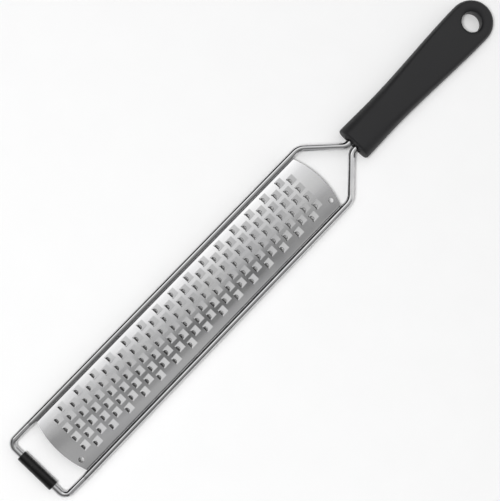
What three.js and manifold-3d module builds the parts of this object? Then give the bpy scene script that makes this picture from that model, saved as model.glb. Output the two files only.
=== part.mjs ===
// Hand grater: a bent wire frame, a toothed steel blade between its rails, a two-part handle, a rubber foot.
// Millimetres, +Z up. The tool lies with its teeth up and its handle towards +X.
// The origin is midway along its length and width, on the surface that it lies on.

import * as THREE from 'three';
import { ConvexGeometry } from 'three/addons/geometries/ConvexGeometry.js';
import { mergeGeometries, mergeVertices } from 'three/addons/utils/BufferGeometryUtils.js';
import Module from 'manifold-3d';

// Gap between pieces that hold, rest on or are welded to each other
const SEAT_GAP = 0.3;

// Wire frame, with bend radii at the wire's centre line
const WIRE_DIAMETER = 4;
const FRAME_WIDTH = 48;
const FOOT_REACH = 16;
const FOOT_CORNER_RADIUS = 4.5;
const CRANK_RADIUS = 12;
const SHOULDER_LEAD = 3;
const SHOULDER_RADIUS = 9;
const NECK_ANGLE = 42.5;
const NECK_RADIUS = 6;
const TAIL_STUB = 3.9;
const TAIL_GAP = 1;
const TAIL_DEPTH = 45;

// Blade sheet, measured over the crowns of its arc-cut ends
const SHEET = 0.5;
const BLADE_LENGTH = 221;
const BLADE_END_SAG = 5;
const LIP_REACH = 1.5;
const SHOULDER_RUN = 0.8;
const SHOULDER_RISE = 1.45;
const ARCH_MARGIN = 0.2;
const ARCH_RISE = 1.5;

// Teeth: flat tongues that rise towards the foot, each with a round bite out of its raised end
const TOOTH_LENGTH = 4.6;
const TOOTH_WIDTH = 4.8;
const TOOTH_RISE = 1.2;
const TOOTH_ROOT = 0.8;
const TOOTH_SIDE_LEAN = 0.2;
const MOUTH_WIDTH = 3.1;
const MOUTH_REACH = 1.9;
const COLUMN_PITCH = 6.5;
const ROW_PITCH = 7;
const FIELD_END_MARGIN = 12.5;
const FIELD_SIDE_MARGIN = 2;
const FIELD_OFFSET = 1.3;

// Round locating holes along one margin of the blade
const LOCATING_HOLE_DIAMETER = 3.3;
const LOCATING_HOLE_INSET = 5.4;
const LOCATING_HOLE_OFFSET = 13.5;

// Rubber sleeve on the middle of the crossbar
const SLEEVE_WALL = 0.9;
const SLEEVE_EDGE = 0.4;
const FOOT_BARE_WIRE = 4.8;

// Rigid core that holds the tails
const CORE_WALL = 1.2;
const CORE_END = 4;
const CORE_RECESS = 0.5;

// Soft grip, with a flat land along its top and its underside
const GRIP_LENGTH = 121;
const GRIP_FRONT_WIDTH = 23.1;
const GRIP_WAIST_WIDTH = 22.3;
const GRIP_WAIST_REACH = 27;
const GRIP_END_WIDTH = 27.6;
const GRIP_FRONT_THICKNESS = 13.5;
const GRIP_END_THICKNESS = 9.5;
const GRIP_FRONT_LAND = 10;
const GRIP_END_LAND = 23;
const GRIP_FRONT_EDGE = 1.2;
const GRIP_CORNER_RADIUS = 1.4;
const HANGING_HOLE_DIAMETER = 13;
const HOLE_FLARE_DIAMETER = 20;
const HOLE_FLARE_DEPTH = 1.6;
const HOLE_REACH = 14.5;

// Facets of the round stretches
const WIRE_SIDES = 12;
const BEND_STEP = Math.PI / 12;
const END_STEPS = 12;
const BITE_STEPS = 4;
const CORE_SIDES = 20;
const ROUND_SIDES = 24;
const GRIP_LEVELS = 6;
const GRIP_SIDE_STEPS = 10;
const GRIP_END_STEPS = 8;
const GRIP_CORNER_STEPS = 3;
const FLARE_STEPS = 3;

// Heights: the sleeve and the handle's underside both touch the surface, and the handle carries the rails
const wireRadius = WIRE_DIAMETER / 2;
const sleeveBore = wireRadius + SEAT_GAP;
const sleeveRadius = sleeveBore + SLEEVE_WALL;
const railZ = GRIP_FRONT_THICKNESS / 2;
const lipZ = railZ - wireRadius - SEAT_GAP;
const crownZ = lipZ + SHOULDER_RISE + ARCH_RISE;

// Distances across
const railY = FRAME_WIDTH / 2 - wireRadius;
const tailY = (WIRE_DIAMETER + TAIL_GAP) / 2;
const lipY = railY + LIP_REACH;
const archY = railY - wireRadius - ARCH_MARGIN;
const shoulderY = archY + SHOULDER_RUN;

// Distances along, chained from the foot to the end of the handle
const neckRun = (railY - tailY) / Math.tan(THREE.MathUtils.degToRad(NECK_ANGLE));
const frontReach = FOOT_REACH + BLADE_LENGTH + SHOULDER_LEAD + neckRun + TAIL_STUB;
const barX = sleeveRadius - (sleeveRadius + frontReach + GRIP_LENGTH) / 2;
const bladeFoot = barX + FOOT_REACH;
const bladeEnd = bladeFoot + BLADE_LENGTH;
const bladeMiddle = bladeFoot + BLADE_LENGTH / 2;
const shoulderX = bladeEnd + SHOULDER_LEAD;
const neckX = shoulderX + neckRun;
const gripFront = barX + frontReach;
const tailEnd = gripFront + TAIL_DEPTH;
const coreEnd = tailEnd + SEAT_GAP + CORE_END;
const holeX = gripFront + GRIP_LENGTH - HOLE_REACH;

// How far a cutter runs past the faces that it cuts through
const CUTTER_MARGIN = 2;

const wasm = await Module();
wasm.setup();

function toSolid(geometry) {
  const bare = geometry.clone();
  bare.deleteAttribute('normal');
  bare.deleteAttribute('uv');
  const merged = mergeVertices(bare);
  return new wasm.Manifold(new wasm.Mesh({
    numProp: 3,
    vertProperties: new Float32Array(merged.attributes.position.array),
    triVerts: new Uint32Array(merged.index.array),
  }));
}

function toGeometry(solid) {
  const { vertProperties, triVerts } = solid.getMesh();
  const geometry = new THREE.BufferGeometry();
  geometry.setAttribute('position', new THREE.BufferAttribute(vertProperties, 3));
  geometry.setIndex(new THREE.BufferAttribute(triVerts, 1));
  return geometry;
}

// Triangles across a ring of points, zigzagging from one side to the other
function capTriangles(count) {
  const triangles = [];
  let low = 0;
  let high = count - 1;
  while (high - low > 1) {
    triangles.push([low, low + 1, high]);
    low += 1;
    if (high - low > 1) {
      triangles.push([low, high - 1, high]);
      high -= 1;
    }
  }
  return triangles;
}

// Closed solid through rings of equal count, each running anticlockwise about the direction of travel
function loft(rings) {
  const count = rings[0].length;
  const last = (rings.length - 1) * count;
  const triangles = [];
  for (let start = 0; start < last; start += count) {
    for (let i = 0; i < count; i += 1) {
      const a = start + i;
      const b = start + ((i + 1) % count);
      triangles.push(a, b, b + count, a, b + count, a + count);
    }
  }
  for (const [a, b, c] of capTriangles(count)) {
    triangles.push(c, b, a, last + a, last + b, last + c);
  }
  const geometry = new THREE.BufferGeometry().setFromPoints(rings.flat());
  geometry.setIndex(triangles);
  return geometry;
}

// Upright prism over an outline in plan that runs anticlockwise seen from above
function prism(outline, low, high) {
  return loft([low, high].map((z) => outline.map((p) => new THREE.Vector3(p.x, p.y, z))));
}

// Oval ring square to a tangent, with its width level and its height upright
function ovalRing(centre, tangent, halfWidth, halfHeight, sides) {
  const across = new THREE.Vector3(0, 0, 1).cross(tangent).normalize();
  const up = tangent.clone().cross(across);
  return Array.from({ length: sides }, (_, i) => {
    const angle = (2 * Math.PI * i) / sides;
    return centre.clone()
      .addScaledVector(across, halfWidth * Math.cos(angle))
      .addScaledVector(up, halfHeight * Math.sin(angle));
  });
}

// Straight bar along X with an oval section
function ovalBar(startX, endX, y, halfWidth, halfHeight, sides) {
  const alongX = new THREE.Vector3(1, 0, 0);
  return loft([startX, endX].map((x) => {
    return ovalRing(new THREE.Vector3(x, y, railZ), alongX, halfWidth, halfHeight, sides);
  }));
}

// Upright round cutter
function roundCutter(x, y, radius, height) {
  const cutter = new THREE.CylinderGeometry(radius, radius, height, WIRE_SIDES);
  cutter.rotateX(Math.PI / 2);
  cutter.translate(x, y, 0);
  return cutter;
}

// Centre line through corner points, each inner corner rounded to its bend radius
function bentPath(corners) {
  return corners.flatMap(({ point, radius }, i) => {
    const before = corners[i - 1]?.point;
    const after = corners[i + 1]?.point;
    if (!before) {
      return [{ point, tangent: after.clone().sub(point).normalize() }];
    }
    const inward = point.clone().sub(before).normalize();
    if (!after) {
      return [{ point, tangent: inward }];
    }
    const outward = after.clone().sub(point).normalize();
    const turn = inward.angleTo(outward);
    const start = point.clone().addScaledVector(inward, -radius * Math.tan(turn / 2));
    const inside = outward.clone().addScaledVector(inward, -inward.dot(outward)).normalize();
    const steps = Math.ceil(turn / BEND_STEP);
    return Array.from({ length: steps + 1 }, (_, k) => {
      const angle = (turn * k) / steps;
      return {
        point: start.clone()
          .addScaledVector(inward, radius * Math.sin(angle))
          .addScaledVector(inside, radius * (1 - Math.cos(angle))),
        tangent: inward.clone().multiplyScalar(Math.cos(angle)).addScaledVector(inside, Math.sin(angle)),
      };
    });
  });
}

// One wire from tail to tail, cranked down past the blade so that the foot reaches the surface
function wireFrame() {
  const half = [
    { point: new THREE.Vector3(tailEnd, tailY, railZ) },
    { point: new THREE.Vector3(neckX, tailY, railZ), radius: NECK_RADIUS },
    { point: new THREE.Vector3(shoulderX, railY, railZ), radius: SHOULDER_RADIUS },
    { point: new THREE.Vector3(bladeFoot, railY, railZ), radius: CRANK_RADIUS },
    { point: new THREE.Vector3(barX, railY, sleeveRadius), radius: FOOT_CORNER_RADIUS },
  ];
  const mirrored = half.map(({ point, radius }) => {
    return { point: new THREE.Vector3(point.x, -point.y, point.z), radius };
  });
  const path = bentPath([...half, ...mirrored.reverse()]);
  return loft(path.map(({ point, tangent }) => {
    return ovalRing(point, tangent, wireRadius, wireRadius, WIRE_SIDES);
  }));
}

// The arch across the blade is part of a circle, and the teeth fill it
const archRadius = (archY ** 2 + ARCH_RISE ** 2) / (2 * ARCH_RISE);
const columns = Math.floor((BLADE_LENGTH - 2 * FIELD_END_MARGIN) / COLUMN_PITCH) + 1;
const rows = Math.floor((2 * (archY - FIELD_SIDE_MARGIN) - TOOTH_WIDTH) / ROW_PITCH) + 1;

function archHeight(y) {
  return crownZ - archRadius + Math.sqrt(archRadius ** 2 - y ** 2);
}

// Underside of a sheet whose top runs along the points, mitred at their corners
function sheetUnderside(top) {
  const normals = top.slice(1).map((p, i) => new THREE.Vector2(top[i].y - p.y, p.x - top[i].x).normalize());
  return top.map((p, i) => {
    const before = normals[Math.max(i - 1, 0)];
    const after = normals[Math.min(i, normals.length - 1)];
    const mitre = before.clone().add(after).multiplyScalar(SHEET / (1 + before.dot(after)));
    return p.clone().sub(mitre);
  });
}

// Sheet before its ends are cut: a flat lip under each rail, a shoulder up from it along the wire,
// and an arch with one facet for each row of teeth
function archedSheet() {
  const breaks = Array.from({ length: rows + 1 }, (_, i) => FIELD_OFFSET + (i - rows / 2) * ROW_PITCH);
  const inner = breaks.filter((y) => Math.abs(y) < archY - SHEET);
  const arch = [-archY, ...inner, archY].map((y) => new THREE.Vector2(y, archHeight(y)));
  const lips = [-lipY, -shoulderY, shoulderY, lipY].map((y) => new THREE.Vector2(y, lipZ));
  const top = [...lips.slice(0, 2), ...arch, ...lips.slice(2)];
  const section = [...sheetUnderside(top), ...top.reverse()];
  return loft([bladeFoot - CUTTER_MARGIN, bladeEnd + CUTTER_MARGIN].map((x) => {
    return section.map((p) => new THREE.Vector3(x, p.x, p.y));
  }));
}

// Plan of the blade: straight sides and two convex ends, each an arc
function bladeOutline() {
  const radius = (lipY ** 2 + BLADE_END_SAG ** 2) / (2 * BLADE_END_SAG);
  const spread = Math.asin(lipY / radius);
  const rise = (angle) => radius * (1 - Math.cos(angle));
  const handleEnd = Array.from({ length: END_STEPS + 1 }, (_, i) => {
    const angle = spread * ((2 * i) / END_STEPS - 1);
    return new THREE.Vector2(bladeEnd - rise(angle), radius * Math.sin(angle));
  });
  const footEnd = handleEnd.map((p) => new THREE.Vector2(2 * bladeMiddle - p.x, -p.y));
  return [...handleEnd, ...footEnd];
}

// A tooth stands at the origin with the sheet's top at z = 0: a solid tongue, less its throat and its bite
const toothFront = -TOOTH_LENGTH / 2;
const toothBack = TOOTH_LENGTH / 2;
const toothSlope = TOOTH_RISE / TOOTH_LENGTH;

// Tongue with a flat sloping top, carried down into the sheet so that the two join
function toothTongue() {
  const sunk = SHEET / 2;
  const points = [-1, 1].flatMap((side) => [
    new THREE.Vector3(toothFront, side * (TOOTH_WIDTH / 2 - TOOTH_SIDE_LEAN), TOOTH_RISE),
    new THREE.Vector3(toothFront, side * (TOOTH_WIDTH / 2), -sunk),
    new THREE.Vector3(toothBack + sunk / toothSlope, side * (TOOTH_WIDTH / 2), -sunk),
  ]);
  return new ConvexGeometry(points);
}

// Throat under the tongue, open to the front and to the underside of the sheet
function toothThroat() {
  const half = MOUTH_WIDTH / 2;
  const points = [toothFront - SHEET / 2, toothBack - TOOTH_ROOT].flatMap((x) => {
    const roof = toothSlope * (toothBack - x) - SHEET;
    return [-half, half].flatMap((y) => [-2 * SHEET, roof].map((z) => new THREE.Vector3(x, y, z)));
  });
  return new ConvexGeometry(points);
}

// Half-round bite out of the raised end, which leaves the cutting edge and a horn on each side
function toothBite() {
  const half = MOUTH_WIDTH / 2;
  const edge = Array.from({ length: BITE_STEPS + 1 }, (_, i) => {
    const angle = Math.PI * (i / BITE_STEPS);
    return { x: toothFront + MOUTH_REACH * Math.sin(angle), y: half * Math.cos(angle) };
  });
  const front = [-half, half].map((y) => ({ x: toothFront - SHEET / 2, y }));
  const heights = [-2 * SHEET, TOOTH_RISE + SHEET];
  const points = [...edge, ...front].flatMap(({ x, y }) => heights.map((z) => new THREE.Vector3(x, y, z)));
  return new ConvexGeometry(points);
}

// Places of the teeth: staggered columns, of which every second one has a tooth more
function toothPlaces() {
  return Array.from({ length: columns }, (_, column) => {
    const x = bladeMiddle + (column - (columns - 1) / 2) * COLUMN_PITCH;
    const count = rows - 1 + (column % 2);
    return Array.from({ length: count }, (_, row) => {
      const y = FIELD_OFFSET + (row - (count - 1) / 2) * ROW_PITCH;
      const lean = Math.asin(y / archRadius);
      return new THREE.Matrix4().makeTranslation(x, y, archHeight(y)).multiply(
        new THREE.Matrix4().makeRotationX(-lean),
      );
    });
  }).flat();
}

function atAllTeeth(shape) {
  return toSolid(mergeGeometries(toothPlaces().map((place) => shape.clone().applyMatrix4(place))));
}

function graterBlade() {
  const sheet = toSolid(archedSheet());
  const outline = toSolid(prism(bladeOutline(), 0, crownZ + CUTTER_MARGIN));
  const holes = [bladeFoot + LOCATING_HOLE_INSET, bladeEnd - LOCATING_HOLE_INSET].map((x) => {
    const height = 2 * (crownZ + CUTTER_MARGIN);
    return roundCutter(x, -LOCATING_HOLE_OFFSET, LOCATING_HOLE_DIAMETER / 2, height);
  });
  const blade = sheet.intersect(outline)
    .add(atAllTeeth(toothTongue()))
    .subtract(atAllTeeth(toothThroat()))
    .subtract(atAllTeeth(toothBite()))
    .subtract(toSolid(mergeGeometries(holes)));
  return toGeometry(blade);
}

// Tube turned about the crossbar, with rounded ends
function footSleeve() {
  const halfLength = railY - FOOT_CORNER_RADIUS - FOOT_BARE_WIRE;
  const profile = [
    new THREE.Vector2(sleeveBore, -halfLength),
    new THREE.Vector2(sleeveRadius - SLEEVE_EDGE, -halfLength),
    new THREE.Vector2(sleeveRadius, -halfLength + SLEEVE_EDGE),
    new THREE.Vector2(sleeveRadius, halfLength - SLEEVE_EDGE),
    new THREE.Vector2(sleeveRadius - SLEEVE_EDGE, halfLength),
    new THREE.Vector2(sleeveBore, halfLength),
    new THREE.Vector2(sleeveBore, -halfLength),
  ];
  const sleeve = new THREE.LatheGeometry(profile, ROUND_SIDES);
  sleeve.translate(barX, 0, sleeveRadius);
  return sleeve;
}

// Oval core with a socket for each tail
const coreHalfWidth = tailY + wireRadius + SEAT_GAP + CORE_WALL;
const coreHalfHeight = wireRadius + SEAT_GAP + CORE_WALL;

function handleCore() {
  const front = gripFront + CORE_RECESS;
  const socket = wireRadius + SEAT_GAP;
  const bar = toSolid(ovalBar(front, coreEnd, 0, coreHalfWidth, coreHalfHeight, CORE_SIDES));
  const sockets = [-tailY, tailY].map((y) => {
    return toSolid(ovalBar(gripFront - CUTTER_MARGIN, tailEnd + SEAT_GAP, y, socket, socket, WIRE_SIDES));
  });
  return toGeometry(bar.subtract(sockets[0]).subtract(sockets[1]));
}

// Half widths of the grip at a distance behind its front
const gripRound = GRIP_LENGTH - HOLE_REACH;

function gripHalfWidth(x) {
  const { lerp, smoothstep } = THREE.MathUtils;
  if (x < GRIP_WAIST_REACH) {
    return lerp(GRIP_FRONT_WIDTH, GRIP_WAIST_WIDTH, smoothstep(x, 0, GRIP_WAIST_REACH)) / 2;
  }
  return lerp(GRIP_WAIST_WIDTH, GRIP_END_WIDTH, smoothstep(x, GRIP_WAIST_REACH, gripRound)) / 2;
}

function gripHalfLand(x) {
  const { lerp, smoothstep } = THREE.MathUtils;
  return lerp(GRIP_FRONT_LAND, GRIP_END_LAND, smoothstep(x, 0, gripRound)) / 2;
}

function gripThickness(x) {
  return THREE.MathUtils.lerp(GRIP_FRONT_THICKNESS, GRIP_END_THICKNESS, x / GRIP_LENGTH);
}

// One half of the grip's plan, from its front to its tip, where swell is 1 at its widest and 0 at its lands
function gripHalfOutline(swell) {
  const { lerp } = THREE.MathUtils;
  const halfWidth = (x) => lerp(gripHalfLand(x), gripHalfWidth(x), swell);
  const front = GRIP_FRONT_EDGE * (1 - swell);
  const sideStart = front + GRIP_CORNER_RADIUS;
  const endReach = HOLE_REACH - ((GRIP_END_WIDTH - GRIP_END_LAND) / 2) * (1 - swell);
  const corner = Array.from({ length: GRIP_CORNER_STEPS }, (_, i) => {
    const angle = (Math.PI / 2) * (i / GRIP_CORNER_STEPS);
    return new THREE.Vector2(
      sideStart - GRIP_CORNER_RADIUS * Math.cos(angle),
      halfWidth(sideStart) - GRIP_CORNER_RADIUS * (1 - Math.sin(angle)),
    );
  });
  const side = Array.from({ length: GRIP_SIDE_STEPS }, (_, i) => {
    const x = lerp(sideStart, gripRound, i / GRIP_SIDE_STEPS);
    return new THREE.Vector2(x, halfWidth(x));
  });
  const end = Array.from({ length: GRIP_END_STEPS }, (_, i) => {
    const angle = (Math.PI / 2) * (i / GRIP_END_STEPS);
    const y = halfWidth(gripRound) * Math.cos(angle);
    return new THREE.Vector2(gripRound + endReach * Math.sin(angle), y);
  });
  return { half: [...corner, ...side, ...end], tip: new THREE.Vector2(gripRound + endReach, 0) };
}

// Levels of the grip from its underside to its top
function gripBody() {
  return loft(Array.from({ length: GRIP_LEVELS + 1 }, (_, i) => {
    const angle = Math.PI * (i / GRIP_LEVELS - 0.5);
    const share = (1 + Math.sin(angle)) / 2;
    const { half, tip } = gripHalfOutline(Math.cos(angle));
    const near = half.map((p) => new THREE.Vector2(p.x, -p.y));
    return [...near, tip, ...half.reverse()].map((p) => {
      return new THREE.Vector3(gripFront + p.x, p.y, gripThickness(p.x) * share);
    });
  }));
}

// Cutter for the hanging hole, flared to both faces by quarter ellipses
function hangingHole() {
  const radius = HANGING_HOLE_DIAMETER / 2;
  const flare = HOLE_FLARE_DIAMETER / 2 - radius;
  const thickness = gripThickness(gripRound);
  const profile = Array.from({ length: FLARE_STEPS + 1 }, (_, i) => {
    const angle = (Math.PI / 2) * (i / FLARE_STEPS);
    return new THREE.Vector2(
      radius + flare * (1 - Math.sin(angle)),
      HOLE_FLARE_DEPTH * (1 - Math.cos(angle)),
    );
  });
  const wall = [new THREE.Vector2(radius + flare, -CUTTER_MARGIN), ...profile];
  const mirrored = wall.map((p) => new THREE.Vector2(p.x, thickness - p.y)).reverse();
  const axisStart = new THREE.Vector2(0, -CUTTER_MARGIN);
  const axisEnd = new THREE.Vector2(0, thickness + CUTTER_MARGIN);
  const cutter = new THREE.LatheGeometry([axisStart, ...wall, ...mirrored, axisEnd], ROUND_SIDES);
  cutter.rotateX(Math.PI / 2);
  cutter.translate(holeX, 0, 0);
  return cutter;
}

function handleGrip() {
  const cavity = ovalBar(
    gripFront - CUTTER_MARGIN,
    coreEnd + SEAT_GAP,
    0,
    coreHalfWidth + SEAT_GAP,
    coreHalfHeight + SEAT_GAP,
    CORE_SIDES,
  );
  return toGeometry(toSolid(gripBody()).subtract(toSolid(cavity)).subtract(toSolid(hangingHole())));
}

const brightWire = new THREE.MeshStandardMaterial({ color: 0xd4d6d8, roughness: 0.12, metalness: 1 });
const satinSheet = new THREE.MeshStandardMaterial({ color: 0xc4c6c8, roughness: 0.3, metalness: 1 });
const blackRubber = new THREE.MeshStandardMaterial({ color: 0x121213, roughness: 0.45, metalness: 0 });
const blackPlastic = new THREE.MeshStandardMaterial({ color: 0x1a1a1b, roughness: 0.6, metalness: 0 });
const softGrip = new THREE.MeshStandardMaterial({ color: 0x2b2b2d, roughness: 0.75, metalness: 0 });

function namedMesh(name, geometry, material) {
  const faceted = geometry.index ? geometry.toNonIndexed() : geometry;
  faceted.computeVertexNormals();
  const mesh = new THREE.Mesh(faceted, material);
  mesh.name = name;
  return mesh;
}

const grater = new THREE.Group();
grater.add(
  namedMesh('wire_frame', wireFrame(), brightWire),
  namedMesh('grater_blade', graterBlade(), satinSheet),
  namedMesh('foot_sleeve', footSleeve(), blackRubber),
  namedMesh('handle_core', handleCore(), blackPlastic),
  namedMesh('handle_grip', handleGrip(), softGrip),
);

export default grater;
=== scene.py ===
import math

import bmesh
import bpy
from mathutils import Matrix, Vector


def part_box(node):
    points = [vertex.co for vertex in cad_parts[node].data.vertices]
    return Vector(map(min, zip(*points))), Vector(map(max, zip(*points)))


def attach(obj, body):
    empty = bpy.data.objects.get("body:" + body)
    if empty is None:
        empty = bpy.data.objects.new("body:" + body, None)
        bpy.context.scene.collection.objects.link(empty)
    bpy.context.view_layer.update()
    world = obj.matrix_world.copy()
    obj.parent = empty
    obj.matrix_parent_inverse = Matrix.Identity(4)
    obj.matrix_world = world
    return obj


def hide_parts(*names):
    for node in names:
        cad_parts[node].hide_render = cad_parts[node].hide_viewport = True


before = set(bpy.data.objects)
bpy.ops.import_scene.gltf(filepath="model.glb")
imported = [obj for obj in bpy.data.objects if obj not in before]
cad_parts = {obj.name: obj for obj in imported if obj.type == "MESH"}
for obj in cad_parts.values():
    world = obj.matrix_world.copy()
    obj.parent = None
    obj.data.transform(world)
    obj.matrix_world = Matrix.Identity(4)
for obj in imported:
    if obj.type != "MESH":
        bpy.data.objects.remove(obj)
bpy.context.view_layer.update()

# Wire frame: one length of bright drawn steel wire. It is bent round at the foot, cranked up to carry the
# blade between two straight rails, drawn in at the neck, and its two ends run side by side into the handle.
MM = 0.001
WIRE_RADIUS = 2 * MM
FOOT_CORNER_RADIUS = 4.5 * MM
CRANK_RADIUS = 12 * MM
SHOULDER_RADIUS = 9 * MM
NECK_RADIUS = 6 * MM
NECK_ANGLE = math.radians(42.5)
TAIL_Y = 2.5 * MM
WIRE_SIDES = 32
FOOT_CORNER_STEPS, CRANK_STEPS, NECK_STEPS = 12, 6, 10
SHOULDER_LEAD = 3 * MM
MERGE_DISTANCE = 0.005 * MM
wire_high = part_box("wire_frame")[1]
blade_low, blade_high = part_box("grater_blade")
sleeve_low, sleeve_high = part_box("foot_sleeve")
rail_y = wire_high.y - WIRE_RADIUS
rail_z = wire_high.z - WIRE_RADIUS
bar_x = (sleeve_low.x + sleeve_high.x) / 2
bar_z = (sleeve_low.z + sleeve_high.z) / 2
shoulder_x = blade_high.x + SHOULDER_LEAD


def clear_selection():
    if bpy.context.mode != "OBJECT":
        bpy.ops.object.mode_set(mode="OBJECT")
    bpy.ops.object.select_all(action="DESELECT")


def open_mesh(piece):
    clear_selection()
    piece.select_set(True)
    bpy.context.view_layer.objects.active = piece
    bpy.ops.object.mode_set(mode="EDIT")
    bpy.ops.mesh.select_mode(type="VERT")
    bpy.ops.mesh.select_all(action="SELECT")


def seat_in_frame(piece, name):
    clear_selection()
    piece.select_set(True)
    bpy.context.view_layer.objects.active = piece
    bpy.ops.object.transform_apply(location=True, rotation=True, scale=True)
    piece.name = name
    piece.data.name = name


def apply_modifier(piece, kind, **settings):
    bpy.context.view_layer.objects.active = piece
    modifier = piece.modifiers.new(kind.title(), kind)
    for key, value in settings.items():
        setattr(modifier, key, value)
    bpy.ops.object.modifier_apply(modifier=modifier.name)


def run_wire(start, direction, length):
    bpy.ops.mesh.extrude_region_move(TRANSFORM_OT_translate={"value": direction * length})
    return start + direction * length


def bend_wire(start, direction, towards, radius, angle, steps):
    inward = (towards - direction * towards.dot(direction)).normalized()
    centre = start + inward * radius
    axis = direction.cross(inward)
    bpy.ops.mesh.spin(steps=steps, angle=-angle, center=centre, axis=axis, use_auto_merge=False)
    turned = direction * math.cos(angle) + inward * math.sin(angle)
    return centre + (direction * math.sin(angle) - inward * math.cos(angle)) * radius, turned


clear_selection()
bpy.ops.mesh.primitive_circle_add(
    vertices=WIRE_SIDES, radius=WIRE_RADIUS, location=(bar_x, 0, bar_z), rotation=(math.pi / 2, 0, 0)
)
wire = bpy.context.object
open_mesh(wire)
along, across = Vector((1, 0, 0)), Vector((0, 1, 0))
foot_rise = Vector((blade_low.x - bar_x, 0, rail_z - bar_z))
crank_angle = math.atan2(foot_rise.z, foot_rise.x)
crank_reach = CRANK_RADIUS * math.tan(crank_angle / 2)
neck_bend = math.tan(NECK_ANGLE / 2)
neck_length = (rail_y - TAIL_Y) / math.sin(NECK_ANGLE)
tip = run_wire(Vector((bar_x, 0, bar_z)), across, rail_y - FOOT_CORNER_RADIUS)
tip, heading = bend_wire(
    tip, across, foot_rise.normalized(), FOOT_CORNER_RADIUS, math.pi / 2, FOOT_CORNER_STEPS
)
tip = run_wire(tip, heading, foot_rise.length - FOOT_CORNER_RADIUS - crank_reach)
tip, heading = bend_wire(tip, heading, along, CRANK_RADIUS, crank_angle, CRANK_STEPS)
tip = run_wire(tip, heading, shoulder_x - SHOULDER_RADIUS * neck_bend - tip.x)
tip, heading = bend_wire(tip, heading, -across, SHOULDER_RADIUS, NECK_ANGLE, NECK_STEPS)
tip = run_wire(tip, heading, neck_length - (SHOULDER_RADIUS + NECK_RADIUS) * neck_bend)
tip, heading = bend_wire(tip, heading, along, NECK_RADIUS, NECK_ANGLE, NECK_STEPS)
tip = run_wire(tip, heading, wire_high.x - tip.x)
bpy.ops.mesh.edge_face_add()
bpy.ops.object.mode_set(mode="OBJECT")
seat_in_frame(wire, "bent_wire")
apply_modifier(wire, "MIRROR", use_axis=(False, True, False), merge_threshold=2 * MERGE_DISTANCE)
open_mesh(wire)
bpy.ops.mesh.remove_doubles(threshold=MERGE_DISTANCE)
bpy.ops.mesh.normals_make_consistent(inside=False)
bpy.ops.object.mode_set(mode="OBJECT")
bpy.ops.object.shade_smooth_by_angle(angle=math.radians(40))


def new_finish(name):
    finish = bpy.data.materials.new(name)
    finish.use_nodes = True
    nodes = finish.node_tree.nodes
    return finish, nodes, finish.node_tree.links, nodes["Principled BSDF"]


def stretched_noise(nodes, links, stretch, scale, detail):
    place = nodes.new("ShaderNodeTexCoord")
    mapping = nodes.new("ShaderNodeMapping")
    mapping.inputs["Scale"].default_value = stretch
    noise = nodes.new("ShaderNodeTexNoise")
    noise.inputs["Scale"].default_value = scale
    noise.inputs["Detail"].default_value = detail
    links.new(place.outputs["Object"], mapping.inputs["Vector"])
    links.new(mapping.outputs["Vector"], noise.inputs["Vector"])
    return noise.outputs["Fac"]


# Most of a noise lies between these two values
NOISE_LOW, NOISE_HIGH = 0.3, 0.7


def spread(nodes, links, source, low, high, start=NOISE_LOW, end=NOISE_HIGH):
    remap = nodes.new("ShaderNodeMapRange")
    remap.inputs["From Min"].default_value = start
    remap.inputs["From Max"].default_value = end
    remap.inputs["To Min"].default_value = low
    remap.inputs["To Max"].default_value = high
    links.new(source, remap.inputs["Value"])
    return remap.outputs["Result"]


def tinted(nodes, links, source, low, high):
    ramp = nodes.new("ShaderNodeValToRGB")
    ramp.color_ramp.elements[0].position = NOISE_LOW
    ramp.color_ramp.elements[0].color = (*low, 1)
    ramp.color_ramp.elements[1].position = NOISE_HIGH
    ramp.color_ramp.elements[1].color = (*high, 1)
    links.new(source, ramp.inputs["Fac"])
    return ramp.outputs["Color"]


def relief(nodes, links, source, height, strength):
    bump = nodes.new("ShaderNodeBump")
    bump.inputs["Strength"].default_value = strength
    bump.inputs["Distance"].default_value = height
    links.new(source, bump.inputs["Height"])
    return bump.outputs["Normal"]


drawn_steel, nodes, links, steel = new_finish("bright_drawn_steel")
steel.inputs["Metallic"].default_value = 1.0
drawing_lines = stretched_noise(nodes, links, (0.01, 1, 1), 3200, 3)
handling = stretched_noise(nodes, links, (1, 1, 1), 90, 4)
links.new(tinted(nodes, links, handling, (0.58, 0.58, 0.59), (0.66, 0.66, 0.66)), steel.inputs["Base Color"])
links.new(spread(nodes, links, handling, 0.05, 0.10), steel.inputs["Roughness"])
links.new(relief(nodes, links, drawing_lines, 0.004 * MM, 0.25), steel.inputs["Normal"])
wire.data.materials.append(drawn_steel)
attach(wire, "root")
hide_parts("wire_frame")

# Grating blade: one stainless sheet, pierced and pressed into rows of open-mouthed teeth, then rolled to a
# low arch. Its ends are cut to an arc, and its two flat lips are spot-welded under the rails of the frame.
SHEET = 0.5 * MM
COLUMN_PITCH = 6.5 * MM
ROW_PITCH = 7 * MM
COLUMNS = 31
ROWS = 5
FIELD_SHIFT = 1.3 * MM
TOOTH_CUTS = [-2.3 * MM, -1.7 * MM, -0.7 * MM, 0.9 * MM, 2.3 * MM]
TOOTH_HALF = 2.4 * MM
ARCH_Y = 19.8 * MM
ARCH_RISE = 1.5 * MM
SHOULDER_RUN = 0.8 * MM
SHOULDER_RISE = 1.45 * MM
FOLD = 0.2 * MM
FOLD_LINES = [18.9, 19.1, 19.3, 19.5, 19.68, 19.76, 19.84, 19.92, 20.2, 20.48, 20.56, 20.64, 20.72]
EDGE_DROP_FROM = 18.9 * MM
EDGE_DROP = 0.125 / MM
END_SAG = 5 * MM
LOCATING_RADIUS = 1.65 * MM
LOCATING_Y = -13.5 * MM
LOCATING_INSET = 5.4 * MM
LOCATING_SIDES = 32
PUNCH_DEPTH = 10 * MM
WELD_GAP = 0.3 * MM
blade_middle = (blade_low.x + blade_high.x) / 2
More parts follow.
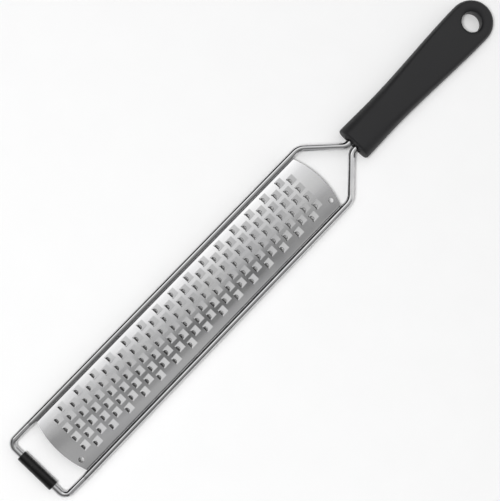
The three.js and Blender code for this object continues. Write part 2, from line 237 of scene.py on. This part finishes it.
lip_y = blade_high.y
lip_z = rail_z - WIRE_RADIUS - WELD_GAP
first_column = blade_middle - COLUMN_PITCH * (COLUMNS - 1) / 2
column_places = [first_column + COLUMN_PITCH * i for i in range(COLUMNS)]
half_pitch = ROW_PITCH / 2
tooth_places = [
    (x, FIELD_SHIFT + half_pitch * j)
    for i, x in enumerate(column_places)
    for j in range(1 - ROWS, ROWS)
    if j % 2 == (i + 1) % 2
]

# One tooth, half of it: lines from its foot on the sheet, up its steep side and over its flat top, to the
# edge of its bite. The top rises evenly from the fold at the back, and the raised end is open
TOOTH_SLOPE = 0.26
TOOTH_BACK = 2.3
TOOTH_LINES = [
    [(2.30, 1.10), (1.60, 0.90), (0.50, 0.65), (-0.56, 0.45)],
    [(2.30, 2.40), (2.30, 2.40), (0.80, 1.55), (-0.73, 0.95)],
    [(0.90, 2.40), (0.90, 2.36), (-0.10, 1.78), (-1.03, 1.30)],
    [(-0.70, 2.40), (-0.70, 2.34), (-1.05, 1.75), (-1.39, 1.50)],
    [(-1.70, 2.40), (-1.70, 2.33), (-1.71, 1.74), (-1.72, 1.58)],
    [(-2.30, 2.40), (-2.30, 2.32), (-2.30, 1.73), (-2.30, 1.62)],
]
TOOTH_RINGS = len(TOOTH_LINES[0]) - 1
EDGE_TUCK = 0.15 * MM


def pick(kind, test):
    bpy.ops.mesh.select_all(action="DESELECT")
    bpy.ops.mesh.select_mode(type=kind)
    mesh = bmesh.from_edit_mesh(bpy.context.object.data)
    for part in {"VERT": mesh.verts, "EDGE": mesh.edges, "FACE": mesh.faces}[kind]:
        if test(part):
            part.select_set(True)
    mesh.select_flush_mode()
    bmesh.update_edit_mesh(bpy.context.object.data)


def score(place, normal):
    bpy.ops.mesh.select_all(action="SELECT")
    bpy.ops.mesh.bisect(plane_co=place, plane_no=normal, threshold=0.001 * MM)


clear_selection()
bpy.ops.mesh.primitive_plane_add(size=1, location=(blade_middle, 0, 0))
blade = bpy.context.object
blade.scale = (blade_high.x - blade_low.x, 2 * lip_y, 1)
seat_in_frame(blade, "grating_blade")
open_mesh(blade)
field_low = column_places[0] + TOOTH_CUTS[0]
field_high = column_places[-1] + TOOTH_CUTS[-1]
end_margin = field_low - blade_low.x
for share in (0.25, 0.5, 0.75):
    score((field_low - end_margin * share, 0, 0), along)
    score((field_high + end_margin * share, 0, 0), along)
for x in column_places:
    for cut in TOOTH_CUTS:
        score((x + cut, 0, 0), along)
row_cut = half_pitch - TOOTH_HALF
for j in range(-ROWS, ROWS + 1):
    for side in (-1, 1):
        y = FIELD_SHIFT + half_pitch * j + row_cut * side
        if abs(y - FIELD_SHIFT) < half_pitch * ROWS:
            score((0, y, 0), across)
for y in FOLD_LINES:
    score((0, y * MM, 0), across)
    score((0, -y * MM, 0), across)


def at_a_tooth(face):
    centre = face.calc_center_median()
    return any(
        abs(centre.x - x) < TOOTH_CUTS[-1] and abs(centre.y - y) < TOOTH_HALF
        for x, y in tooth_places
    )


pick("FACE", at_a_tooth)
bpy.ops.mesh.delete(type="FACE")
bpy.ops.object.mode_set(mode="OBJECT")

clear_selection()
steps_across = 2 * len(TOOTH_LINES) - 1
bpy.ops.mesh.primitive_grid_add(x_subdivisions=TOOTH_RINGS, y_subdivisions=steps_across, size=2)
tooth = bpy.context.object
for corner in tooth.data.vertices:
    ring = round((corner.co.x + 1) / 2 * TOOTH_RINGS)
    line = round((corner.co.y + 1) / 2 * steps_across) - len(TOOTH_LINES)
    half_line = line if line >= 0 else -1 - line
    x, y = TOOTH_LINES[half_line][ring]
    rise = TOOTH_SLOPE * (TOOTH_BACK - x) if ring > 0 else 0
    corner.co = (x * MM, (y if line >= 0 else -y) * MM, rise * MM)
open_mesh(tooth)
bpy.ops.mesh.remove_doubles(threshold=MERGE_DISTANCE)
bpy.ops.mesh.normals_make_consistent(inside=False)
bpy.ops.object.mode_set(mode="OBJECT")
if sum(face.normal.z for face in tooth.data.polygons) < 0:
    open_mesh(tooth)
    bpy.ops.mesh.flip_normals()
    bpy.ops.object.mode_set(mode="OBJECT")
pressed = []
for x, y in tooth_places:
    copy = tooth.copy()
    copy.data = tooth.data.copy()
    copy.location = (x, y, 0)
    bpy.context.collection.objects.link(copy)
    pressed.append(copy)
bpy.data.objects.remove(tooth)
clear_selection()
for copy in pressed:
    copy.select_set(True)
blade.select_set(True)
bpy.context.view_layer.objects.active = blade
bpy.ops.object.join()
open_mesh(blade)
bpy.ops.mesh.remove_doubles(threshold=MERGE_DISTANCE)
bpy.ops.mesh.select_all(action="DESELECT")
bpy.ops.mesh.select_mode(type="EDGE")
bpy.ops.mesh.edges_select_sharp(sharpness=math.radians(12))
bpy.ops.object.mode_set(mode="OBJECT")
for edge in blade.data.edges:
    on_sheet = all(abs(blade.data.vertices[i].co.z) < 0.01 * MM for i in edge.vertices)
    edge.use_edge_sharp = edge.select and on_sheet

arch_radius = (ARCH_Y ** 2 + ARCH_RISE ** 2) / (2 * ARCH_RISE)
end_radius = (lip_y ** 2 + END_SAG ** 2) / (2 * END_SAG)


def rounded_lower(first, second):
    return min(first, second) - max(FOLD - abs(first - second), 0) ** 2 / (4 * FOLD)


def sheet_height(y):
    edge_drop = EDGE_DROP * max(abs(y) - EDGE_DROP_FROM, 0) ** 2
    arch = SHOULDER_RISE + ARCH_RISE - arch_radius + math.sqrt(arch_radius ** 2 - y ** 2) - edge_drop
    shoulder = SHOULDER_RISE * (1 - (abs(y) - ARCH_Y) / SHOULDER_RUN)
    return rounded_lower(arch, -rounded_lower(-shoulder, 0))


for point in blade.data.vertices:
    x, y, rise = point.co
    sag = end_radius - math.sqrt(end_radius ** 2 - y ** 2)
    for border, side in ((field_low, -1), (field_high, 1)):
        beyond = (x - border) * side
        if beyond > 0:
            x = border + side * beyond * (end_margin - sag) / end_margin
    lean = y / arch_radius
    point.co = (x, y + rise * lean, lip_z + sheet_height(y) + rise * math.sqrt(1 - lean ** 2))

clear_selection()
blade.select_set(True)
apply_modifier(blade, "SOLIDIFY", thickness=SHEET, offset=-1, use_even_offset=True, use_quality_normals=True)


# The sheet's thickness makes the lower edge of each raised end stand forward, so it is tucked back
def under_a_tooth_edge(point):
    x, y, z = point.co
    forward = min(column_places, key=lambda place: abs(x - place - TOOTH_CUTS[0])) + TOOTH_CUTS[0] - x
    return 0.05 * MM < forward < 0.3 * MM and z > lip_z + sheet_height(y) + 0.3 * MM


open_mesh(blade)
pick("VERT", under_a_tooth_edge)
bpy.ops.transform.translate(value=(EDGE_TUCK, 0, 0))
bpy.ops.object.mode_set(mode="OBJECT")
for x in (blade_low.x + LOCATING_INSET, blade_high.x - LOCATING_INSET):
    clear_selection()
    bpy.ops.mesh.primitive_cylinder_add(
        vertices=LOCATING_SIDES, radius=LOCATING_RADIUS, depth=PUNCH_DEPTH, location=(x, LOCATING_Y, lip_z)
    )
    punch = bpy.context.object
    apply_modifier(blade, "BOOLEAN", object=punch, operation="DIFFERENCE", solver="EXACT")
    bpy.data.objects.remove(punch)
clear_selection()
blade.select_set(True)
bpy.context.view_layer.objects.active = blade
bpy.ops.object.shade_smooth_by_angle(angle=math.radians(30), keep_sharp_edges=True)

# Only the upper faces are polished. The back of the sheet is painted much darker, as painted shade that
# keeps the open mouths of the teeth dark, and it and the steep, sheared faces of the teeth are rough, so
# each face is marked by how far it looks up
UNDERSIDE_BELOW = -0.2
UNPOLISHED_BELOW = 0.3
for name, highest in (("painted_shade_underside", UNDERSIDE_BELOW), ("unpolished", UNPOLISHED_BELOW)):
    mark = blade.data.attributes.new(name, "FLOAT", "FACE")
    for face in blade.data.polygons:
        mark.data[face.index].value = 1.0 if face.normal.z < highest else 0.0


def marked(nodes, name):
    attribute = nodes.new("ShaderNodeAttribute")
    attribute.attribute_name = name
    return attribute.outputs["Fac"]


satin_steel, nodes, links, steel = new_finish("satin_stainless_sheet")
steel.inputs["Metallic"].default_value = 1.0
rolling_grain = stretched_noise(nodes, links, (0.04, 1, 1), 4200, 4)
handling = stretched_noise(nodes, links, (1, 1, 1), 55, 5)
COLOUR_A, COLOUR_B, COLOUR_RESULT = 6, 7, 2
polished_or_painted_shade = nodes.new("ShaderNodeMix")
polished_or_painted_shade.data_type = "RGBA"
links.new(marked(nodes, "painted_shade_underside"), polished_or_painted_shade.inputs["Factor"])
polished_tint = tinted(nodes, links, handling, (0.60, 0.60, 0.61), (0.66, 0.66, 0.66))
# Painted shade: the faces that look down get a far darker colour than the same steel on top, so the mouths
# read dark
painted_shade_tint = tinted(nodes, links, handling, (0.15, 0.15, 0.15), (0.20, 0.20, 0.20))
links.new(polished_tint, polished_or_painted_shade.inputs[COLOUR_A])
links.new(painted_shade_tint, polished_or_painted_shade.inputs[COLOUR_B])
links.new(polished_or_painted_shade.outputs[COLOUR_RESULT], steel.inputs["Base Color"])
sheared = nodes.new("ShaderNodeMath")
sheared.operation = "MAXIMUM"
links.new(spread(nodes, links, handling, 0.10, 0.14), sheared.inputs[0])
links.new(spread(nodes, links, marked(nodes, "unpolished"), 0.0, 0.78), sheared.inputs[1])
links.new(sheared.outputs["Value"], steel.inputs["Roughness"])
links.new(relief(nodes, links, rolling_grain, 0.003 * MM, 0.5), steel.inputs["Normal"])
blade.data.materials.clear()
blade.data.materials.append(satin_steel)
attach(blade, "root")
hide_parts("grater_blade")

# Foot sleeve: a short black rubber tube with softened ends, pushed over the middle of the crossbar before
# the wire is bent, so that the foot of the grater doesn't slip or mark the table.
SLEEVE_WALL = 0.9 * MM
SLEEVE_EDGE = 0.5 * MM
SLEEVE_SIDES = 48
RIM_REACH = 0.05 * MM
sleeve_radius = (sleeve_high.z - sleeve_low.z) / 2
sleeve_length = sleeve_high.y - sleeve_low.y
clear_selection()
bpy.ops.mesh.primitive_cylinder_add(
    vertices=SLEEVE_SIDES,
    radius=sleeve_radius,
    depth=sleeve_length,
    location=(bar_x, 0, bar_z),
    rotation=(math.pi / 2, 0, 0),
)
sleeve = bpy.context.object
seat_in_frame(sleeve, "rubber_sleeve")
open_mesh(sleeve)
pick("FACE", lambda face: abs(face.normal.y) > 0.9)
bpy.ops.mesh.inset(thickness=SLEEVE_WALL, use_individual=True)
bpy.ops.mesh.delete(type="FACE")
pick("EDGE", lambda edge: edge.is_boundary)
bpy.ops.mesh.bridge_edge_loops()


def on_sleeve_rim(edge):
    return all(
        abs(math.hypot(v.co.x - bar_x, v.co.z - bar_z) - sleeve_radius) < RIM_REACH
        and abs(abs(v.co.y) - sleeve_length / 2) < RIM_REACH
        for v in edge.verts
    )


pick("EDGE", on_sleeve_rim)
bpy.ops.mesh.bevel(offset=SLEEVE_EDGE, segments=4, profile=0.5, affect="EDGES")
bpy.ops.mesh.select_all(action="SELECT")
bpy.ops.mesh.normals_make_consistent(inside=False)
bpy.ops.object.mode_set(mode="OBJECT")
bpy.ops.object.shade_smooth_by_angle(angle=math.radians(50))

smooth_rubber, nodes, links, rubber = new_finish("smooth_black_rubber")
skin = stretched_noise(nodes, links, (1, 1, 1), 1400, 3)
bloom = stretched_noise(nodes, links, (1, 1, 1), 160, 4)
rubber_tint = tinted(nodes, links, bloom, (0.002, 0.002, 0.002), (0.004, 0.004, 0.004))
links.new(rubber_tint, rubber.inputs["Base Color"])
links.new(spread(nodes, links, bloom, 0.20, 0.28), rubber.inputs["Roughness"])
rubber.inputs["Specular IOR Level"].default_value = 0.4
links.new(relief(nodes, links, skin, 0.02 * MM, 0.5), rubber.inputs["Normal"])
sleeve.data.materials.clear()
sleeve.data.materials.append(smooth_rubber)
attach(sleeve, "root")
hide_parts("foot_sleeve")

# Handle core: the stiff black plastic plug that grips both wire ends. The handle is moulded round it, and
# only its front end shows, set back a little in the handle's mouth.
stiff_plastic, nodes, links, plastic = new_finish("stiff_black_plastic")
flow = stretched_noise(nodes, links, (0.4, 1, 1), 700, 3)
plastic_tint = tinted(nodes, links, flow, (0.016, 0.016, 0.017), (0.026, 0.026, 0.027))
links.new(plastic_tint, plastic.inputs["Base Color"])
links.new(spread(nodes, links, flow, 0.5, 0.62), plastic.inputs["Roughness"])
links.new(relief(nodes, links, flow, 0.02 * MM, 0.6), plastic.inputs["Normal"])
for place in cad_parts["handle_core"].material_slots:
    place.material = stiff_plastic

# Handle: a soft black grip moulded over the core, slightly waisted, oval at the front and flatter towards a
# round end. The hanging hole through that end is flared smoothly to both faces.
GRIP_WAIST = 27 * MM
GRIP_FRONT_WIDTH = 23.1 * MM
GRIP_WAIST_WIDTH = 22.3 * MM
GRIP_END_WIDTH = 27.6 * MM
GRIP_FRONT_THICKNESS = 13.5 * MM
GRIP_END_THICKNESS = 9.5 * MM
GRIP_FRONT_LAND = 10 * MM
GRIP_END_LAND = 23 * MM
GRIP_FRONT_EDGE = 1.2 * MM
GRIP_CORNER_RADIUS = 1.4 * MM
GRIP_CROWN = 0.06
HOLE_REACH = 14.5 * MM
HOLE_RADIUS = 6.5 * MM
FLARE_RADIUS = 10 * MM
FLARE_DEPTH = 1.6 * MM
FRONT_STEPS, CORNER_STEPS, SIDE_STEPS, ROUND_STEPS = 6, 8, 56, 26
SKIN_LEVELS, LAND_RINGS, FLARE_STEPS = 18, 6, 8
CAVITY_SIDES = 64
CAVITY_LEAD = 2 * MM
SEAT_GAP = 0.3 * MM
grip_low, grip_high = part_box("handle_grip")
grip_length = grip_high.x - grip_low.x
grip_round = grip_length - HOLE_REACH
hole_x = grip_low.x + grip_round
half_rows = FRONT_STEPS + CORNER_STEPS + SIDE_STEPS + ROUND_STEPS


def eased(value, start, end):
    share = min(max((value - start) / (end - start), 0), 1)
    return share * share * (3 - 2 * share)


def grip_half_width(x):
    if x < GRIP_WAIST:
        return (GRIP_FRONT_WIDTH + (GRIP_WAIST_WIDTH - GRIP_FRONT_WIDTH) * eased(x, 0, GRIP_WAIST)) / 2
    return (GRIP_WAIST_WIDTH + (GRIP_END_WIDTH - GRIP_WAIST_WIDTH) * eased(x, GRIP_WAIST, grip_round)) / 2


def grip_half_land(x):
    return (GRIP_FRONT_LAND + (GRIP_END_LAND - GRIP_FRONT_LAND) * eased(x, 0, grip_round)) / 2


def grip_thickness(x):
    return GRIP_FRONT_THICKNESS + (GRIP_END_THICKNESS - GRIP_FRONT_THICKNESS) * x / grip_length


def grip_plan(row, swell):
    front = GRIP_FRONT_EDGE * (1 - swell)
    side_start = front + GRIP_CORNER_RADIUS

    def half_width(x):
        return grip_half_land(x) + (grip_half_width(x) - grip_half_land(x)) * swell

    if row <= FRONT_STEPS:
        return front, (half_width(side_start) - GRIP_CORNER_RADIUS) * row / FRONT_STEPS
    row -= FRONT_STEPS
    if row <= CORNER_STEPS:
        angle = math.pi / 2 * row / CORNER_STEPS
        x = side_start - GRIP_CORNER_RADIUS * math.cos(angle)
        return x, half_width(side_start) - GRIP_CORNER_RADIUS * (1 - math.sin(angle))
    row -= CORNER_STEPS
    if row <= SIDE_STEPS:
        x = side_start + (grip_round - side_start) * row / SIDE_STEPS
        return x, half_width(x)
    angle = math.pi / 2 * (row - SIDE_STEPS) / ROUND_STEPS
    reach = HOLE_REACH - (GRIP_END_WIDTH - GRIP_END_LAND) / 2 * (1 - swell)
    return grip_round + reach * math.sin(angle), half_width(grip_round) * math.cos(angle)


land_plan = [grip_plan(row, 0) for row in range(half_rows + 1)]
land_run = [0.0]
for (x0, y0), (x1, y1) in zip(land_plan, land_plan[1:]):
    land_run.append(land_run[-1] + math.hypot(x1 - x0, y1 - y0))
flare_start = grip_round - FLARE_RADIUS


def off_flare_start(row):
    x, y = land_plan[row]
    on_axis = y < 0.1 * MM
    return abs(x - flare_start) + on_axis


flare_row = min(range(half_rows), key=off_flare_start)
middle_start = GRIP_FRONT_EDGE + GRIP_CORNER_RADIUS


def grip_middle(row):
    if row <= flare_row:
        share = land_run[row] / land_run[flare_row]
        return middle_start + (flare_start - middle_start) * share, 0.0
    angle = math.pi * (land_run[row] - land_run[flare_row]) / (land_run[-1] - land_run[flare_row])
    return grip_round - FLARE_RADIUS * math.cos(angle), FLARE_RADIUS * math.sin(angle)


def grip_skin(row, level):
    if level <= LAND_RINGS or level >= LAND_RINGS + SKIN_LEVELS:
        ring = level if level <= LAND_RINGS else 2 * LAND_RINGS + SKIN_LEVELS - level
        inner = ring / LAND_RINGS
        (x0, y0), (x1, y1) = grip_middle(row), land_plan[row]
        x, y = x0 + (x1 - x0) * inner, y0 + (y1 - y0) * inner
        share = 0.0 if level <= LAND_RINGS else 1.0
    else:
        angle = math.pi * ((level - LAND_RINGS) / SKIN_LEVELS - 0.5)
        x, y = grip_plan(row, math.cos(angle))
        share = (1 + math.sin(angle)) / 2
    beside = y / grip_half_width(min(x, grip_round))
    behind = max(0, x - grip_round) / HOLE_REACH
    z = grip_thickness(x) * share * (1 - GRIP_CROWN * (beside ** 2 + behind ** 2))
    return x, y, z


clear_selection()
bpy.ops.mesh.primitive_cylinder_add(vertices=2 * half_rows, radius=1, depth=2, end_fill_type="NOTHING")
grip = bpy.context.object
open_mesh(grip)
levels = 2 * LAND_RINGS + SKIN_LEVELS
for level in range(1, levels):
    score((0, 0, -1 + 2 * level / levels), (0, 0, 1))
bpy.ops.object.mode_set(mode="OBJECT")
for point in grip.data.vertices:
    turn = round(math.atan2(point.co.y, point.co.x) / math.pi * half_rows)
    level = round((point.co.z + 1) / 2 * levels)
    x, y, z = grip_skin(abs(turn), level)
    point.co = (grip_low.x + x, y if turn >= 0 else -y, z)
open_mesh(grip)
bpy.ops.mesh.remove_doubles(threshold=MERGE_DISTANCE)
bpy.ops.mesh.normals_make_consistent(inside=False)
hole_half = grip_thickness(grip_round) / 2
for upper in (True, False):
    pick("EDGE", lambda edge: edge.is_boundary and (edge.verts[0].co.z > hole_half) == upper)
    radius, depth = FLARE_RADIUS, 0.0
    for step in range(1, FLARE_STEPS + 1):
        angle = math.pi / 2 * step / FLARE_STEPS
        next_radius = HOLE_RADIUS + (FLARE_RADIUS - HOLE_RADIUS) * (1 - math.sin(angle))
        next_depth = FLARE_DEPTH * (1 - math.cos(angle))
        shrink = next_radius / radius
        sink = (hole_half - next_depth) / (hole_half - depth)
        bpy.ops.mesh.extrude_region_move()
        bpy.ops.transform.resize(value=(shrink, shrink, sink), center_override=(hole_x, 0, hole_half))
        radius, depth = next_radius, next_depth
pick("EDGE", lambda edge: edge.is_boundary)
bpy.ops.mesh.bridge_edge_loops()
bpy.ops.mesh.select_all(action="SELECT")
bpy.ops.mesh.normals_make_consistent(inside=False)
bpy.ops.object.mode_set(mode="OBJECT")

core_low, core_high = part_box("handle_core")
cavity_start = grip_low.x - CAVITY_LEAD
cavity_end = core_high.x + SEAT_GAP
clear_selection()
bpy.ops.mesh.primitive_cylinder_add(
    vertices=CAVITY_SIDES,
    radius=1,
    depth=1,
    location=((cavity_start + cavity_end) / 2, 0, (core_low.z + core_high.z) / 2),
    rotation=(0, math.pi / 2, 0),
)
cavity = bpy.context.object
cavity.scale = (
    (core_high.z - core_low.z) / 2 + SEAT_GAP,
    (core_high.y - core_low.y) / 2 + SEAT_GAP,
    cavity_end - cavity_start,
)
apply_modifier(grip, "BOOLEAN", object=cavity, operation="DIFFERENCE", solver="EXACT")
bpy.data.objects.remove(cavity)
seat_in_frame(grip, "soft_grip_handle")
bpy.ops.object.shade_smooth_by_angle(angle=math.radians(40))

soft_touch, nodes, links, grip_face = new_finish("soft_touch_charcoal")
pebble = stretched_noise(nodes, links, (1, 1, 1), 2600, 2)
rubbed = stretched_noise(nodes, links, (0.5, 1, 1), 70, 5)
grip_tint = tinted(nodes, links, rubbed, (0.008, 0.008, 0.009), (0.012, 0.012, 0.013))
links.new(grip_tint, grip_face.inputs["Base Color"])
links.new(spread(nodes, links, rubbed, 0.46, 0.58), grip_face.inputs["Roughness"])
links.new(relief(nodes, links, pebble, 0.03 * MM, 0.6), grip_face.inputs["Normal"])
grip_face.inputs["Specular IOR Level"].default_value = 0.5
grip.data.materials.clear()
grip.data.materials.append(soft_touch)
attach(grip, "root")
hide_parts("handle_grip")

# Table: a plain matt white board that the grater lies on. It isn't part of the grater, and it is wide enough
# to fill the picture from every side.
TABLE_WIDTH = 6
clear_selection()
bpy.ops.mesh.primitive_plane_add(size=TABLE_WIDTH, location=(0, 0, 0))
table = bpy.context.object
table.name = "white_table"
white_board, nodes, links, board = new_finish("white_board")
paper = stretched_noise(nodes, links, (1, 1, 1), 40, 3)
links.new(tinted(nodes, links, paper, (0.93, 0.93, 0.93), (0.94, 0.94, 0.94)), board.inputs["Base Color"])
board.inputs["Roughness"].default_value = 0.9
board.inputs["Specular IOR Level"].default_value = 0.1
table.data.materials.append(white_board)

# Studio light: white panels overhead, drawn as three ramps that are multiplied. The first brightens from the
# foot's corner to the handle's, with a dim gap between two panels, the second has a bright panel along one
# side, and the third a bright strip beyond the foot. Each lists (degrees from overhead, level).
DEGREES_PER_UNIT = 57.3
GLOW_AXIS = (0.862, 0.508, 0.0)
GAP_AT = 1.17
GLOW_LEVELS = [
    (-57, 0.50), (-48, 0.42), (-40, 0.20), (-23, 0.20), (-14, 0.27), (-10, 0.46), (-7.5, 0.60),
    (-4.4, 0.58), (-2.5, 0.50), (-1, 0.38), (0, 0.31), (1, 0.35), (2, 0.45), (3.5, 0.57), (5, 0.65),
    (6.7, 0.74), (8.2, 0.81), (10, 0.87), (14, 0.92), (18, 0.95), (21, 0.93), (23, 0.90), (25, 0.82),
    (28, 0.66), (37, 0.64), (42, 0.40), (57, 0.20),
]
SIDE_LEVELS = [
    (-57, 0.80), (-50, 0.90), (-44, 1.00), (2, 1.00), (6, 1.12), (10, 1.22), (12, 1.42), (16, 1.70),
    (22, 1.75), (29, 1.35), (33, 0.80), (37, 0.35), (41, 0.15), (45, 0.06), (57, 0.04),
]
FOOT_LEVELS = [
    (-57, 0.90), (-42, 0.75), (-36, 0.30), (-32, 0.20), (-29, 1.00), (-26, 2.00), (-20, 2.00),
    (-14, 1.00), (57, 1.00),
]
GLOW_PEAK = 1
SIDE_PEAK = 1.75
FOOT_PEAK = 2
LENS_AT = (0.13, -0.17, 0.977)
LENS_EDGE = (0.9925, 0.9994)
LENS_LEVEL = 0.5
world = bpy.data.worlds.new("studio")
bpy.context.scene.world = world
world.use_nodes = True
nodes, links = world.node_tree.nodes, world.node_tree.links
sky = nodes["Background"]
sky.inputs["Strength"].default_value = SIDE_PEAK * FOOT_PEAK
direction = nodes.new("ShaderNodeTexCoord")


def facing_along(axis):
    facing = nodes.new("ShaderNodeVectorMath")
    facing.operation = "DOT_PRODUCT"
    facing.inputs[1].default_value = axis
    links.new(direction.outputs["Generated"], facing.inputs[0])
    return facing.outputs["Value"]


def panel_ramp(axis, levels, shift, peak):
    ramp = nodes.new("ShaderNodeValToRGB")
    for _ in levels[2:]:
        ramp.color_ramp.elements.new(0.5)
    start, end = levels[0][0], levels[-1][0]
    for stop, (angle, level) in zip(ramp.color_ramp.elements, levels):
        stop.position = (angle - start) / (end - start)
        stop.color = (level / peak, level / peak, level / peak, 1)
    low, high = (start + shift) / DEGREES_PER_UNIT, (end + shift) / DEGREES_PER_UNIT
    links.new(spread(nodes, links, facing_along(axis), 0, 1, low, high), ramp.inputs["Fac"])
    return ramp.outputs["Color"]


def dimmed(light, by):
    product = nodes.new("ShaderNodeVectorMath")
    product.operation = "MULTIPLY"
    links.new(light, product.inputs[0])
    links.new(by, product.inputs[1])
    return product.outputs["Vector"]


glow = panel_ramp(GLOW_AXIS, GLOW_LEVELS, GAP_AT, GLOW_PEAK)
side_panel = panel_ramp(across, SIDE_LEVELS, 0, SIDE_PEAK)
foot_panel = panel_ramp(along, FOOT_LEVELS, 0, FOOT_PEAK)
lens = spread(nodes, links, facing_along(LENS_AT), 1.0, LENS_LEVEL, *LENS_EDGE)
panels = dimmed(dimmed(glow, side_panel), foot_panel)
links.new(dimmed(panels, lens), sky.inputs["Color"])

# Overhead lamp: a small soft box aimed at the grater, which gives the soft shadow beside it. It is kept out
# of reflections, where it would show as white glints on the upright ends of the teeth.
LAMP_AT = (-0.65, 0.2, 1.88)
LAMP_WIDTH = 0.45
LAMP_WATTS = 23
clear_selection()
lamp_turn = (-Vector(LAMP_AT)).to_track_quat("-Z", "Y").to_euler()
bpy.ops.object.light_add(type="AREA", location=LAMP_AT, rotation=lamp_turn)
lamp = bpy.context.object
lamp.name = "overhead_lamp"
lamp.data.shape = "RECTANGLE"
lamp.data.size = LAMP_WIDTH
lamp.data.size_y = LAMP_WIDTH
lamp.data.energy = LAMP_WATTS
lamp.visible_glossy = False

# Camera: nearly overhead, a little towards the foot, turned so that the grater lies from corner to corner of
# the picture.
CAMERA_AT = (-0.1761, 0.0248, 0.9296)
CAMERA_TURN = (6.072, -7.95, -46.243)
CAMERA_LENS = 114.97
CAMERA_SENSOR = 36
bpy.ops.object.camera_add(location=CAMERA_AT, rotation=[math.radians(turn) for turn in CAMERA_TURN])
camera = bpy.context.object
camera.data.lens = CAMERA_LENS
camera.data.sensor_width = CAMERA_SENSOR
camera.data.clip_start = 0.01
bpy.context.scene.camera = camera
bpy.context.scene.view_settings.view_transform = "Standard"
